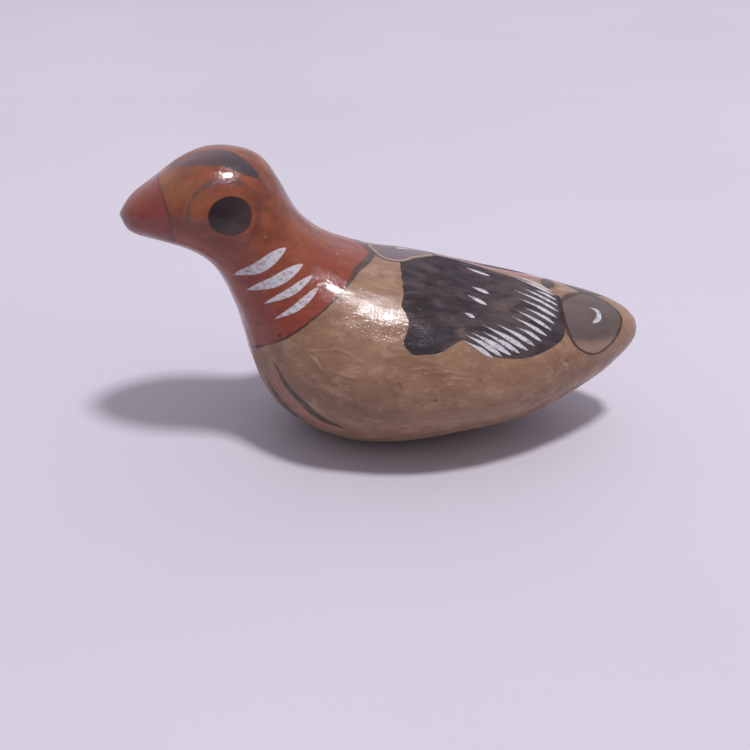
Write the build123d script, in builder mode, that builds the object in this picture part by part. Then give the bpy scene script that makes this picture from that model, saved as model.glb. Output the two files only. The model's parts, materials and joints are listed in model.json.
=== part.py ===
from build123d import *
import os

# Bird-shaped clay ocarina: two pressed shells joined on the bird's middle plane, closed at the
# tail by a lump of clay that holds the windway. The bird faces -X, its left side is -Y, and it
# stands on z = 0 with the middle of its length at x = 0. All sizes are in millimetres.

# ---- clay thicknesses ----
WALL = 4.0  # pressed shell
COIL_THICK = 1.6  # strips of soft clay pressed along the inside of the joints
SEAM_COIL_WIDTH = 8.0
TAIL_COIL_WIDTH = 5.0

# ---- outer form ----
# Each station is an ellipse square to the middle plane, given by its point on the back (x, z),
# its point on the belly (x, z) and half its width.
BEAK_TIP = (-77.0, 66.6)
STATIONS = [
    ((-75.3, 69.8), (-75.4, 64.0), 3.9),
    ((-70.5, 74.6), (-70.5, 61.2), 9.8),
    ((-62.5, 80.4), (-59.8, 58.9), 15.0),
    ((-54.5, 85.2), (-54.8, 56.6), 17.2),
    ((-45.5, 86.8), (-50.8, 53.2), 18.0),
    ((-36.8, 84.0), (-46.5, 46.2), 17.9),
    ((-31.5, 77.0), (-44.1, 39.0), 17.8),
    ((-26.3, 67.7), (-42.0, 30.6), 19.6),
    ((-19.2, 60.8), (-39.2, 20.2), 24.4),
    ((-11.0, 56.5), (-34.3, 10.6), 30.4),
    ((-2.0, 53.6), (-24.8, 3.4), 34.8),
    ((12.0, 50.6), (-3.0, -0.9), 38.0),
    ((31.0, 46.2), (28.5, 2.8), 34.2),
    ((50.0, 42.8), (51.0, 9.2), 24.4),
    ((65.5, 39.2), (67.5, 18.4), 12.8),
    ((73.4, 35.4), (74.8, 24.8), 5.2),
]
TAIL_TIP = (77.0, 29.6)

# ---- chamber ----
CHAMBER_FIRST, CHAMBER_LAST = 2, 15  # the stations that the chamber runs between

# ---- whistle in the tail: an upright windway whose window opens on the right flank ----
TAIL_JOINT_X = 52.0  # plane where the tail lump meets the shells
WINDWAY_EXIT = (TAIL_JOINT_X, 20.2, 26.0)
WINDWAY_RUN = (25.0, -21.0, 4.0)  # from its exit at the window out to its mouth at the tail tip
WINDWAY_THICK = 1.8
WINDWAY_HEIGHT = 7.5
WINDOW_LENGTH = 7.0  # along the jet of air
WINDOW_HEIGHT = 9.0
WINDOW_MID_Z = 26.5
WINDOW_INNER_Y = 8.0  # where its cut starts, inside the chamber
LABIUM_Y = 25.2  # edge that splits the jet
LABIUM_RAMP_LENGTH = 9.0
LABIUM_RAMP_RISE = 7.4
BLOCK_DEPTH = 8.0  # clay block that forms the windway's inner side
BLOCK_LENGTH = 20.0

# ---- finger holes, one under each finger on the right flank: (x, z, radius) ----
FINGER_HOLES = [(-14.0, 25.0, 3.5), (1.0, 20.0, 3.2), (16.0, 18.5, 3.5), (30.0, 19.0, 3.1)]

FAR = 120.0  # larger than the bird, for cutting tools


def profile_point(point):
    """The point of the middle plane at (x, z)."""
    x, z = point
    return Vector(x, 0, z)


def station_plane(back, belly):
    """Plane through a station's back and belly points, square to the middle plane."""
    rise = profile_point(back) - profile_point(belly)
    middle = (profile_point(back) + profile_point(belly)) / 2
    return Plane(origin=middle, x_dir=(0, 1, 0), z_dir=Vector(0, 1, 0).cross(rise))


def bird_form(stations, inset, first_end=None, last_end=None):
    """Smooth solid through the stations, each one drawn in by inset, with optional end points."""
    sections = []
    for back, belly, half_width in stations:
        half_height = (profile_point(back) - profile_point(belly)).length / 2
        with BuildSketch(station_plane(back, belly)) as section:
            Ellipse(half_width - inset, half_height - inset)
        sections.append(section.sketch)
    if first_end:
        sections.insert(0, Vertex(*profile_point(first_end)))
    if last_end:
        sections.append(Vertex(*profile_point(last_end)))
    with BuildPart() as form:
        loft(sections=sections)
    return form.part


def slab(low, high):
    """Box between two opposite corners."""
    low, high = Vector(*low), Vector(*high)
    with BuildPart() as box:
        with Locations((low + high) / 2):
            Box(*(high - low))
    return box.part


# ---- the bird's outer form, standing on a flat foot ----
with BuildPart() as bird:
    add(bird_form(STATIONS, 0, BEAK_TIP, TAIL_TIP))
    split(bisect_by=Plane.XY, keep=Keep.TOP)

# ---- the chamber, and the same form one coil smaller ----
chamber_stations = STATIONS[CHAMBER_FIRST:CHAMBER_LAST]
chamber = bird_form(chamber_stations, WALL)
coiled_chamber = bird_form(chamber_stations, WALL + COIL_THICK)

# ---- the window, with the ramp of the labium in front of it ----
window_back_x = TAIL_JOINT_X - WINDOW_LENGTH
with BuildPart() as window:
    with BuildSketch(Plane.XY.offset(WINDOW_MID_Z - WINDOW_HEIGHT / 2)):
        with BuildLine():
            Polyline(
                (TAIL_JOINT_X, WINDOW_INNER_Y),
                (TAIL_JOINT_X, FAR),
                (window_back_x - LABIUM_RAMP_LENGTH, FAR),
                (window_back_x - LABIUM_RAMP_LENGTH, LABIUM_Y + LABIUM_RAMP_RISE),
                (window_back_x, LABIUM_Y),
                (window_back_x, WINDOW_INNER_Y),
                close=True,
            )
        make_face()
    extrude(amount=WINDOW_HEIGHT)

# ---- the pressed shells ----
with BuildPart() as left_shell:
    add(bird.part)
    add(chamber, mode=Mode.SUBTRACT)
    split(bisect_by=Plane.XZ, keep=Keep.TOP)
    split(bisect_by=Plane.YZ.offset(TAIL_JOINT_X), keep=Keep.BOTTOM)
left_shell.part.label = "left_shell"

with BuildPart() as right_shell:
    add(bird.part)
    add(chamber, mode=Mode.SUBTRACT)
    split(bisect_by=Plane.XZ, keep=Keep.BOTTOM)
    split(bisect_by=Plane.YZ.offset(TAIL_JOINT_X), keep=Keep.BOTTOM)
    add(window.part, mode=Mode.SUBTRACT)
    for hole_x, hole_z, hole_radius in FINGER_HOLES:
        with BuildSketch(Plane((hole_x, 0, hole_z), x_dir=(1, 0, 0), z_dir=(0, 1, 0))):
            Circle(hole_radius)
        extrude(amount=FAR, mode=Mode.SUBTRACT)
right_shell.part.label = "right_shell"

# ---- clay strips pressed along the inside of the two joints ----
seam_half = SEAM_COIL_WIDTH / 2
tail_coil_x = TAIL_JOINT_X - TAIL_COIL_WIDTH
with BuildPart() as seam_coil:
    add(chamber)
    add(coiled_chamber, mode=Mode.SUBTRACT)
    add(slab((-FAR, -seam_half, 0), (tail_coil_x, seam_half, FAR)), mode=Mode.INTERSECT)
seam_coil.part.label = "seam_coil"

with BuildPart() as tail_coil:
    add(chamber)
    add(coiled_chamber, mode=Mode.SUBTRACT)
    add(slab((tail_coil_x, -FAR, 0), (TAIL_JOINT_X, FAR, FAR)), mode=Mode.INTERSECT)
    add(window.part, mode=Mode.SUBTRACT)
tail_coil.part.label = "tail_coil"

# ---- the tail lump, with the windway and the bed of its block ----
windway_across = Vector(0, 0, 1).cross(Vector(*WINDWAY_RUN))
windway_plane = Plane(origin=WINDWAY_EXIT, x_dir=windway_across, z_dir=WINDWAY_RUN)
with BuildPart() as windway:
    with BuildSketch(windway_plane):
        Rectangle(WINDWAY_THICK, WINDWAY_HEIGHT)
    extrude(amount=FAR / 2, both=True)

block_middle = -(WINDWAY_THICK + BLOCK_DEPTH) / 2
with BuildPart() as block_bed:
    with BuildSketch(windway_plane):
        with Locations((block_middle, 0)):
            Rectangle(BLOCK_DEPTH, WINDWAY_HEIGHT)
    extrude(amount=BLOCK_LENGTH, both=True)

with BuildPart() as mouthpiece:
    add(bird.part)
    split(bisect_by=Plane.YZ.offset(TAIL_JOINT_X), keep=Keep.TOP)
    add(windway.part, mode=Mode.SUBTRACT)
    add(block_bed.part, mode=Mode.SUBTRACT)
mouthpiece.part.label = "mouthpiece"

with BuildPart() as fipple_block:
    add(block_bed.part)
    split(bisect_by=Plane.YZ.offset(TAIL_JOINT_X), keep=Keep.TOP)
fipple_block.part.label = "fipple_block"

# ---- written out ----
os.makedirs("parts", exist_ok=True)
for piece in (left_shell, right_shell, seam_coil, tail_coil, mouthpiece, fipple_block):
    export_step(piece.part, f"parts/{piece.part.label}.step")
    print(piece.part.label, round(piece.part.volume), piece.part.bounding_box())
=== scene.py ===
import json
import math

import bmesh
import bpy
import numpy as np
from mathutils import Matrix, Vector


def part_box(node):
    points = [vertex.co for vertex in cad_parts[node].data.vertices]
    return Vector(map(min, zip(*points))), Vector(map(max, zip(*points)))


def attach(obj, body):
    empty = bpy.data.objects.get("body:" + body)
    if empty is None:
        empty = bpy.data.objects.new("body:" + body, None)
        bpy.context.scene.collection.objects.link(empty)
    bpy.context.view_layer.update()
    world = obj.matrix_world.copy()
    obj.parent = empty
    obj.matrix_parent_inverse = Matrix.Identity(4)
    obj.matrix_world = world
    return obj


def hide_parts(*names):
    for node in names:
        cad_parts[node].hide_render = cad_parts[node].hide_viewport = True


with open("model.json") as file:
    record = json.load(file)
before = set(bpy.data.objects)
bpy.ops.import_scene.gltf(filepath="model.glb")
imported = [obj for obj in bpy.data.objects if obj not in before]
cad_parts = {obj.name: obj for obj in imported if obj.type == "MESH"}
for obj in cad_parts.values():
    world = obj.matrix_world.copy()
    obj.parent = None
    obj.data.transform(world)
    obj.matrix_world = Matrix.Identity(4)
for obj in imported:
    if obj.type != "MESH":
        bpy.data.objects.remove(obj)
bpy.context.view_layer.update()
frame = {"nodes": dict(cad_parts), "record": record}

# A burnished and slip-painted clay bird. Sizes of the body and of the painting are in millimetres;
# Blender's own lengths are in metres. The beak points to -X and the bird's left side to -Y.
MM = 0.001
FAR = 50.0
RNG = np.random.default_rng(7)

# ---------------------------------------------------------------- clay body
OUTER_NODES = ("left_shell", "right_shell", "mouthpiece")
TAIL_JOINT_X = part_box("mouthpiece")[0].x / MM
BODY_VOXEL = 0.7
PRESSED_CLAY = (("seam_coil", 0.55, 0.10), ("tail_coil", 0.45, 0.08), ("fipple_block", 0.4, 0.04))
SMOOTH_ROUNDS = 8
FINEST_EDGE = 0.2
REFINED_REACH = (0.75, 0.32)

# ---------------------------------------------------------------- openings
FINGER_HOLE_RADII = (3.5, 3.2, 3.5, 3.1)
WINDOW_BOTTOM, WINDOW_TOP = 22.0, 31.0
WINDOW_INNER_Y = 19.5
RAMP_END_X = TAIL_JOINT_X - 16
WINDWAY_EXIT = np.array((TAIL_JOINT_X, 20.2, 26.0))
WINDWAY_RUN = np.array((25.0, -21.0, 4.0)) / math.hypot(25, 21, 4)
WINDWAY_ACROSS = np.array((21.0, 25.0, 0.0)) / math.hypot(21, 25)
WINDWAY_THICK = 1.8
WINDWAY_HEIGHT = 7.5
BLOCK_LENGTH = 20.0
RIM_WIPES = 5

# ---------------------------------------------------------------- painting
# Flank outlines are (along, up) seen from 30 degrees above the bird's side, so up is measured
# square to that view. Profile outlines are (x, z) and plan outlines (x, y). The pattern of the two
# sides meets along the midline of the painting, which wanders off the ridge as the painter's hand did.
FLANK_TILT = math.radians(30)
MIDLINE = ((-60, 3.2), (-30, 3.2), (-5, 5), (8, 7), (20, 13), (32, 9.5), (47, 3.5), (60, 0.8))

# The collar's edge on the left side, (x, y, z), from the ridge down to the breast.
COLLAR = (
    (-4.2, 0, 54.2), (-5.4, -4, 54.2), (-8.2, -10, 54), (-12.4, -18, 51.7), (-19.2, -24.4, 47),
    (-28.5, -24.9, 39.8), (-36.7, -18.2, 33.5), (-39.6, -11.9, 30.4), (-41.5, 0, 28.6),
)
# Half the width of the dark line along it, (z, mm), broader where it crosses the ridge.
COLLAR_LINE = ((28, 0.45), (39, 0.45), (45, 0.32), (50, 0.40), (52, 0.55), (53.6, 0.7), (54.2, 1.2))
BEAK_EDGE = ((-65.5, 74), (-64.8, 68.5), (-64, 65.2), (-61.5, 57.5), (-60.2, 52.5), (-59.6, 44))
EYE_CENTRE = (-43.9, 72.3)
EYE_RADII = (5.9, 5.3)
RING_CENTRE = (-45.7, 72.0)
RING_RADIUS = 9.5
RING_SWEEP = (-52, 187)
RING_THIN, RING_SWELL, RING_START = 0.42, 0.32, 0.25
CREST = (
    (-62.8, 68.2), (-59, 68.8), (-52, 68.5), (-46, 68.2), (-40.4, 66), (-36.6, 65.4),
    (-37, 67.6), (-40.5, 71.1), (-45, 73.7), (-51, 73.9), (-56, 72.6),
)
HOOK = ((-38.5, 68.8), (-36, 65.3), (-33.7, 61.5))
WING = (
    (3.8, 62), (3.8, 44), (3.8, 33), (3.1, 30.5), (4.8, 26), (4.2, 22), (3.2, 19.5), (5.2, 16.6),
    (9, 16.2), (14, 17), (19.8, 20.3), (23, 18.3), (28, 15.9), (34.4, 15.1), (40, 15.7),
    (46, 18.2), (50.3, 21.6), (51.3, 27), (51.2, 36.5), (50.5, 62),
)
TAIL_PATCH = (
    (51.5, 33), (51, 26.5), (54, 19.2), (60.5, 16.9), (67, 21), (70.1, 27.3), (67.2, 32), (59.5, 35.6),
)
COMMA = ((60.2, 31), (62.3, 29.6), (62.3, 27.5), (60.2, 26))
LEAF = ((-33.3, 16.3), (-30, 9.6), (-26.3, 5), (-20, -0.8), (-12.6, -4.1))
RED_STRIP = ((-34.2, 13.5), (-31.6, 8.3), (-27.6, 3.3), (-21, -2), (-14, -5.2))
BREAST_LINE = ((-36, 12), (-33.4, 7.2), (-29.4, 2.2), (-24, -2.5))
NECK_STROKES = (
    (((-43.7, 39.5), (-36.2, 41.2), (-29, 46.6)), 3.3),
    (((-40.1, 35.3), (-31.9, 37.3), (-24.3, 42.2)), 3.2),
    (((-35.4, 31.3), (-28, 34.2), (-21.6, 39)), 2.3),
    (((-32.3, 27), (-25.8, 30.2), (-19.9, 35.7)), 2.2),
)
DASHES = (
    ((23.7, 43.6), (31.1, 40.8), 0.8),
    ((24.7, 36.8), (29.5, 34.7), 1.1),
    ((22.9, 34.0), (28.2, 31.0), 1.1),
    ((21.2, 28.4), (24.1, 27.0), 1.0),
)
# The white feathers end along this line at the wing's rear edge, and get closer together upwards.
FEATHER_TIPS = ((49.3, 35.6), (49.9, 31), (48.6, 26.3), (44.2, 20.9), (37.5, 17), (28.5, 15.4))
FEATHER_LENGTHS = (13, 12, 7, 12, 14, 12.5, 10, 12, 11.5, 9, 12.5, 15, 12.5, 13.5, 12, 9.5)
FEATHER_CROWDING = 1.25
FEATHER_SLOPES = (27, 30)
FEATHER_WIDTHS = (0.80, 1.05, 1.40, 1.15)
FEATHER_SEED = 40
SCRATCHES = (
    ((-23.7, 17.7), (-19.3, 17.9), (-14.6, 17.9), (-11.6, 16.7), (-7.4, 13.8)),
    ((-23.7, 17.5), (-21, 15), (-19.1, 12.3), (-17.1, 12.6), (-12.4, 10.5), (-10, 10.1)),
    ((5, 12.2), (8, 12.5), (11, 12.0)),
    ((9, 11.0), (13, 11.5), (17, 11.2), (21.5, 10.6)),
    ((14, 9.2), (18, 9.6), (23, 9.0)),
)
# Flecks and pits are (along, up, radius), on the left flank alone like the scratches above. The flat of
# the shoulder is (along, up, length, width, depth) on both flanks. Reliefs are heights in mm.
PALE_FLECKS = ((-14.5, 46, 0.4), (-34.6, 49.3, 0.35), (-25.4, 47.0, 0.3))
PITS = ((1.6, 7.4, 0.9), (50.7, 14.4, 0.7), (12.0, 3.4, 0.5), (-31, 22.5, 0.4))
SHOULDER_FLAT = (-3.5, 27.5, 8.5, 4.5, 0.38)
HAND_SHAPING_DEPTH = 0.16
BURNISH_DEPTH = 0.045
FINGER_MARK_DEPTH = 0.22
PIT_DEPTH, PIT_RIM = 0.36, 0.13
SCRATCH_RIDGE, SCRATCH_GROOVE = 0.09, 0.07
# Where the modeller left the clay fuller or leaner than the even form: (x, y, z), reach and height.
SWELLS = (
    ((17, 11, 52), 14, 0.80), ((42, 5, 46), 16, 0.42), ((2, 7, 54), 8, 0.30),
    ((-43, 3, 86), 11, -0.65), ((-15, 3, 58), 8, -0.60), ((-42, -3, 50), 9, 0.75), ((70, 0, 37), 5, -0.40),
)
BACK_LENS = (
    (-5.4, 6.5), (-4, 2.7), (-2, -0.8), (0.9, -2.5), (3.8, -2.6), (5.8, -1.4), (8.6, 1.6),
    (12, 5), (14.5, 9), (9, 13.5), (2, 14.6), (-4, 12),
)
BACK_DASH = ((3.2, 7.8), (5.4, 9.2), (7.8, 10.0))
WING_TOP = (
    (7, 1), (8, 3), (12, 7), (16, 9.5), (22, 10.3), (28, 8.6), (31, 6.6), (36, 4), (43, -0.2), (49, -4.8),
)
# Strokes on the back: points (x, y), width, and where and how bluntly each is fullest.
BACK_STROKES = {
    "strip": (((12, 11.5), (20, 13.4), (27, 12.4), (34, 9.8), (40, 7.8), (47, 4.5)), 6.0, 0.45, 0.35),
    "back_red": (((36, 9.0), (41, 7.0), (46, 4.6)), 4.2, 0.5, 0.5),
    "blob": (((49.4, 6.4), (48.8, 2.5), (47.9, -1.6)), 4.4, 0.5, 0.5),
    "rear": (((51, -0.5), (55.5, 1.4), (60.3, 0.9), (65, -1)), 3.4, 0.4, 0.6),
}
LENS_LINE = 0.42
# Soft spots of local tone on the flanks: share, centre and radii. The pale spot high on the shoulder is
# painted light from above; the others are the paint's own tones.
TONE_SPOTS = {
    "wear": ((1, (19, 23), (4, 4)), (1, (35, 30.5), (6, 4)), (0.7, (27, 20), (4, 2.5))),
    "cool": ((1, (6, 19), (6, 5)), (0.6, (46, 20), (6, 5))),
    # Painted light from above, high on the shoulder.
    "pale": ((1, (-3, 38), (9, 7)),),
    "yellow": ((1, (-61, 65), (3.5, 4)), (0.5, (-54, 60), (4, 6))),
    "ruddy": ((1, (-47, 78), (5, 3)), (1, (-13, 41), (11, 7)), (0.6, (-45, 64), (6, 3))),
}


def follow(x, points):
    """The curve through the (x, value) points, read at x."""
    return np.interp(x, *np.array(points).T)


def spline(points, closed=False, steps=8):
    """A smooth brush line through the points, as more points."""
    p = np.array(points, float)
    if closed:
        before, start, after, beyond = np.roll(p, 1, 0), p, np.roll(p, -1, 0), np.roll(p, -2, 0)
    else:
        padded = np.vstack([2 * p[0] - p[1], p, 2 * p[-1] - p[-2]])
        before, start, after, beyond = padded[:-3], padded[1:-2], padded[2:-1], padded[3:]
    t = np.linspace(0, 1, steps, endpoint=False)[:, None, None]
    curve = start + 0.5 * (
        (after - before) * t
        + (2 * before - 5 * start + 4 * after - beyond) * t**2
        + (3 * start - before - 3 * after + beyond) * t**3
    )
    curve = curve.transpose(1, 0, 2).reshape(-1, p.shape[1])
    return curve if closed else np.vstack([curve, p[-1]])


def line_gap(at, line):
    """Distance from each place to the line, and how far along it the nearest point is, 0 to 1."""
    best = np.full(len(at), np.inf)
    along = np.zeros(len(at))
    run = np.concatenate([[0], np.cumsum(np.linalg.norm(np.diff(line, axis=0), axis=1))])
    run /= run[-1]
    for start, end, run_0, run_1 in zip(line[:-1], line[1:], run[:-1], run[1:]):
        step = end - start
        t = np.clip(((at - start) @ step) / (step @ step), 0, 1)
        gap = np.linalg.norm(at - start - t[:, None] * step, axis=1)
        nearer = gap < best
        best[nearer] = gap[nearer]
        along[nearer] = (run_0 + t * (run_1 - run_0))[nearer]
    return best, along


def near_line(at, line, reach=4.0):
    """Which places are close enough to the line to be worth measuring."""
    return np.all((at > line.min(0) - reach) & (at < line.max(0) + reach), axis=1)


def stroke(at, points, width, fullest=0.5, blunt=0.8):
    """Signed distance to a tapered brush stroke, fullest at that share of its length, negative inside."""
    line = spline(points)
    near = near_line(at, line)
    gap, along = line_gap(at[near], line)
    belly = np.sin(np.pi * along ** (math.log(0.5) / math.log(fullest))) ** blunt
    field = np.full(len(at), FAR)
    field[near] = gap - width / 2 * belly
    return field


def patch(at, outline, reach=4.0):
    """Signed distance to a closed outline, negative inside."""
    near = near_line(at, outline, reach)
    ring = np.vstack([outline, outline[:1]])
    gap, _ = line_gap(at[near], ring)
    x, y = at[near].T
    odd = np.zeros(len(x), bool)
    for (x0, y0), (x1, y1) in zip(ring[:-1], ring[1:]):
        if y0 != y1:
            crosses = (y0 > y) != (y1 > y)
            odd ^= crosses & (x < x0 + (y - y0) * (x1 - x0) / (y1 - y0))
    field = np.full(len(at), FAR)
    field[near] = np.where(odd, -gap, gap)
    return field


def zone(at, edge, corners):
    """Signed distance to everything on the corners' side of a smooth edge."""
    return patch(at, np.vstack([spline(edge), corners]), reach=FAR * 3)


def feathers(at, rng):
    """Signed distance to the sixteen white feather strokes of one wing."""
    rear = spline(FEATHER_TIPS)
    run = np.concatenate([[0], np.cumsum(np.linalg.norm(np.diff(rear, axis=0), axis=1))])
    count = len(FEATHER_LENGTHS)
    field = np.full(len(at), FAR)
    for i, length in enumerate(FEATHER_LENGTHS):
        share = i / (count - 1)
        reach = run[-1] * share**FEATHER_CROWDING
        tip = np.array([np.interp(reach, run, rear[:, 0]), np.interp(reach, run, rear[:, 1])])
        slope = math.radians(np.interp(share, (0, 0.4), FEATHER_SLOPES) + rng.uniform(-1.2, 1.2))
        back = np.array([-math.cos(slope), math.sin(slope)]) * (length + rng.uniform(-0.4, 0.4))
        bow = np.array([math.sin(slope), math.cos(slope)]) * rng.uniform(0.2, 0.45)
        width = np.interp(share, (0, 0.5, 0.75, 1), FEATHER_WIDTHS) * rng.uniform(0.82, 1.2)
        field = np.minimum(field, stroke(at, (tip + back, tip + back / 2 + bow, tip), width, 0.66, 0.8))
    return field


def painted_side(place):
    """The places as the painting has them on the left side: those past its midline are mirrored in it."""
    x, y, z = place.T
    middle = follow(x, MIDLINE)
    beyond = y - middle
    shift = 2 * middle * np.clip(1 - beyond / 18, 0, 1)
    return np.stack([x, np.where(beyond > 0, shift - y, y), z], axis=1)


def flank_view(place):
    """(along, up) of each place as seen from 30 degrees above its own side, a little looser on the right."""
    x, y, z = painted_side(place).T
    up = z * math.cos(FLANK_TILT) + y * math.sin(FLANK_TILT)
    right = np.clip((place[:, 1] - 14) / 8, 0, 1)
    along = x + right * (0.9 * np.sin(up / 8 + 1) - 0.5)
    return np.stack([along, up + right * 0.8 * np.sin(x / 11)], axis=1)


def collar_field(place):
    """Signed distance to the collar's edge, negative on the side of the head."""
    side = np.stack([place[:, 0], -np.abs(place[:, 1]), place[:, 2]], axis=1)
    gap, _ = line_gap(side, spline(COLLAR))
    edge = np.array(COLLAR)
    shoulder = edge[3, 2]
    over_back = edge[:4]
    down_breast = edge[:2:-1]
    edge_x = np.where(
        side[:, 2] > shoulder,
        np.interp(side[:, 1], over_back[::-1, 1], over_back[::-1, 0]),
        np.interp(side[:, 2], down_breast[:, 2], down_breast[:, 0]),
    )
    return np.where(place[:, 0] < edge_x, -gap, gap)


def ring_arc():
    """The open ring of paint round the eye."""
    turn = np.radians(np.linspace(RING_SWEEP[0], RING_SWEEP[1], 40))
    wander = 1 + 0.02 * np.sin(3 * turn)
    circle = np.stack([np.cos(turn), np.sin(turn)], axis=1)
    return np.array(RING_CENTRE) + RING_RADIUS * wander[:, None] * circle


def white_field(flank, on_left):
    """Signed distance to the nearest stroke of white slip that the flanks carry."""
    white = np.full(len(flank), FAR)
    for hand, own_side in enumerate((on_left[:, None], ~on_left[:, None])):
        strokes = feathers(np.where(own_side, flank, FAR), np.random.default_rng(FEATHER_SEED + hand))
        white = np.minimum(white, strokes)
    for points, width in NECK_STROKES:
        white = np.minimum(white, stroke(flank, points, width, 0.58, 0.65))
    for start, end, width in DASHES:
        white = np.minimum(white, stroke(flank, (start, end), width, 0.6))
    return np.minimum(white, stroke(flank, COMMA, 1.6, 0.62, 0.9))


def line_field(f, flank, z, turned_away):
    """Signed distance to the dark outlines: collar, tail patch, back lens and breast."""
    tail_width = np.interp(flank[:, 0] - flank[:, 1] * 0.4, (40, 46), (0.75, 0.33))
    lines = (
        np.abs(f["head"]) - follow(z, COLLAR_LINE),
        np.abs(f["tail"]) - tail_width,
        np.abs(f["lens"] - 0.15) - LENS_LINE,
        f["leaf"],
        np.maximum(stroke(flank, BREAST_LINE, 1.0), turned_away),
    )
    return np.minimum.reduce(lines)


def tone_fields(flank):
    """How much each place takes each local tone, 0 to 1; the pale tone is painted light from above."""
    tones = {}
    for name, spots in TONE_SPOTS.items():
        tone = 0
        for share, centre, radii in spots:
            tone = tone + share * np.exp(-np.sum(((flank - centre) / radii) ** 2, axis=1))
        tones[name] = np.clip(tone, 0, 1)
    return tones


def paint_fields(place, normal):
    """Signed distances in mm, negative inside, from each place on the clay to each painted shape."""
    x, y, z = place.T
    flank = flank_view(place)
    profile = place[:, [0, 2]]
    plan = place[:, :2]
    tilt = np.stack([0 * y, np.sign(y) * math.cos(FLANK_TILT), 0 * y + math.sin(FLANK_TILT)], axis=1)
    facing = np.sum(normal * tilt, axis=1)
    turned_away = -12 * facing

    def on_top(shape):
        return np.where(normal[:, 2] > 0, shape, FAR)

    f = {}
    f["head"] = collar_field(place)
    f["beak"] = zone(flank, BEAK_EDGE, ((-110, 44), (-110, 74)))
    spoke = (profile - EYE_CENTRE) / EYE_RADII
    f["eye"] = (np.linalg.norm(spoke, axis=1) - 1) * min(EYE_RADII)
    ring_gap, ring_along = line_gap(profile, ring_arc())
    ring_width = RING_THIN + RING_SWELL * np.sin(np.pi * ring_along) + RING_START * (ring_along < 0.25)
    f["ring"] = ring_gap - ring_width
    f["crest"] = patch(flank, spline(CREST, closed=True, steps=5))

    above = painted_side(place)[:, 1] - follow(x, WING_TOP)
    wing = patch(flank, spline(WING, closed=True, steps=5), reach=12)
    f["lens"] = on_top(patch(plan, spline(BACK_LENS, closed=True, steps=6)))
    f["wing"] = np.maximum.reduce([wing, above, 0.3 - f["lens"]])
    f["tail"] = patch(flank, spline(TAIL_PATCH, closed=True, steps=6))
    for name, brushwork in BACK_STROKES.items():
        f[name] = on_top(stroke(plan, *brushwork))

    f["leaf"] = np.maximum(stroke(flank, LEAF, 1.5, 0.55), turned_away)
    f["red"] = np.maximum(stroke(flank, RED_STRIP, 2.4, 0.5, 0.5), turned_away)
    f["up"] = flank[:, 1]
    f["scratch"] = np.where(y < 0, scratch_gap(flank), FAR)
    flecks = [np.linalg.norm(flank - (along, up), axis=1) - radius for along, up, radius in PALE_FLECKS]
    f["fleck"] = np.where(y < 0, np.minimum.reduce(flecks), FAR)
    # The band low on the flanks where they turn under: yellow-brown clay, lightened as painted light thrown
    # up from below.
    f["ochre_and_light_from_below"] = np.abs(facing + 0.05) * 30 - 6 + 9 * ((x - 8) / 38) ** 4
    back_dash = on_top(stroke(plan, BACK_DASH, 1.7, 0.55))
    f["white"] = np.minimum(white_field(flank, y < follow(x, MIDLINE)), back_dash)
    f["line"] = line_field(f, flank, z, turned_away)
    f["thin"] = np.minimum(np.abs(f["beak"]) - 0.36, stroke(flank, HOOK, 1.0, 0.4))
    f.update(tone_fields(flank))
    return f


def to_mesh_attributes(mesh, fields):
    """Stores each field on the vertices, where the materials read it by name."""
    for name, values in fields.items():
        layer = mesh.attributes.get(name) or mesh.attributes.new(name, "FLOAT", "POINT")
        layer.data.foreach_set("value", values.astype(np.float32))


# ---------------------------------------------------------------- hand-worked surface
def waves(count, length, stretch, rng):
    """Seeded ripples: (wave vectors, phases), with lengths round that many mm, longer by stretch per axis."""
    direction = rng.normal(size=(count, 3))
    direction /= np.linalg.norm(direction, axis=1)[:, None]
    vectors = direction * (2 * np.pi / (length * rng.uniform(0.75, 1.35, count)))[:, None]
    return vectors / np.array(stretch), rng.uniform(0, 2 * np.pi, count)


HAND_SHAPING = waves(14, 26, (1.3, 1, 1), RNG)
BURNISH_FACETS = waves(26, 6.5, (2.2, 1, 1), RNG)
FINGER_MARKS = waves(16, 9, (1, 1, 1), RNG)


def ripple(place, train):
    """The ripples added up, with a typical swing of 1."""
    vectors, phases = train
    return np.sin(place @ vectors.T + phases).sum(axis=1) / math.sqrt(len(phases) / 2)


def scratch_gap(flank):
    """Distance to the nearest scratch in the clay of the left flank."""
    nearest = np.full(len(flank), FAR)
    for scratch in SCRATCHES:
        line = spline(scratch, steps=4)
        near = near_line(flank, line)
        gap, _ = line_gap(flank[near], line)
        nearest[near] = np.minimum(nearest[near], gap)
    return nearest


def outside_height(place):
    """How far the hand-shaped and burnished skin stands off the even form, in mm."""
    height = HAND_SHAPING_DEPTH * ripple(place, HAND_SHAPING) + BURNISH_DEPTH * ripple(place, BURNISH_FACETS)
    for centre, reach, swell in SWELLS:
        height += swell * np.exp(-np.sum((place - centre) ** 2, axis=1) / reach**2)
    flank = flank_view(place)
    left = place[:, 1] < 0
    for along, up, radius in PITS:
        gap = np.where(left, np.linalg.norm(flank - (along, up), axis=1), FAR) / radius
        height -= PIT_DEPTH * np.exp(-(gap**2)) - PIT_RIM * np.exp(-((gap - 1.7) ** 2) * 3)
    along, up, length, width, depth = SHOULDER_FLAT
    spread = ((flank[:, 0] - along) / length) ** 2 + ((flank[:, 1] - up) / width) ** 2
    height -= depth * np.exp(-spread / 2)
    gap = np.where(left, scratch_gap(flank), FAR)
    pressed = 0.65 + 0.35 * np.sin(0.9 * flank[:, 0] + 0.5 * flank[:, 1])
    ridge = SCRATCH_RIDGE * np.exp(-((gap / 0.35) ** 2))
    groove = SCRATCH_GROOVE * np.exp(-(((gap - 0.9) / 0.45) ** 2))
    return height + pressed * (ridge - groove)


def inside_height(place):
    """How far finger marks in the chamber stand off the even form, in mm."""
    return FINGER_MARK_DEPTH * ripple(place, FINGER_MARKS)


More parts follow.
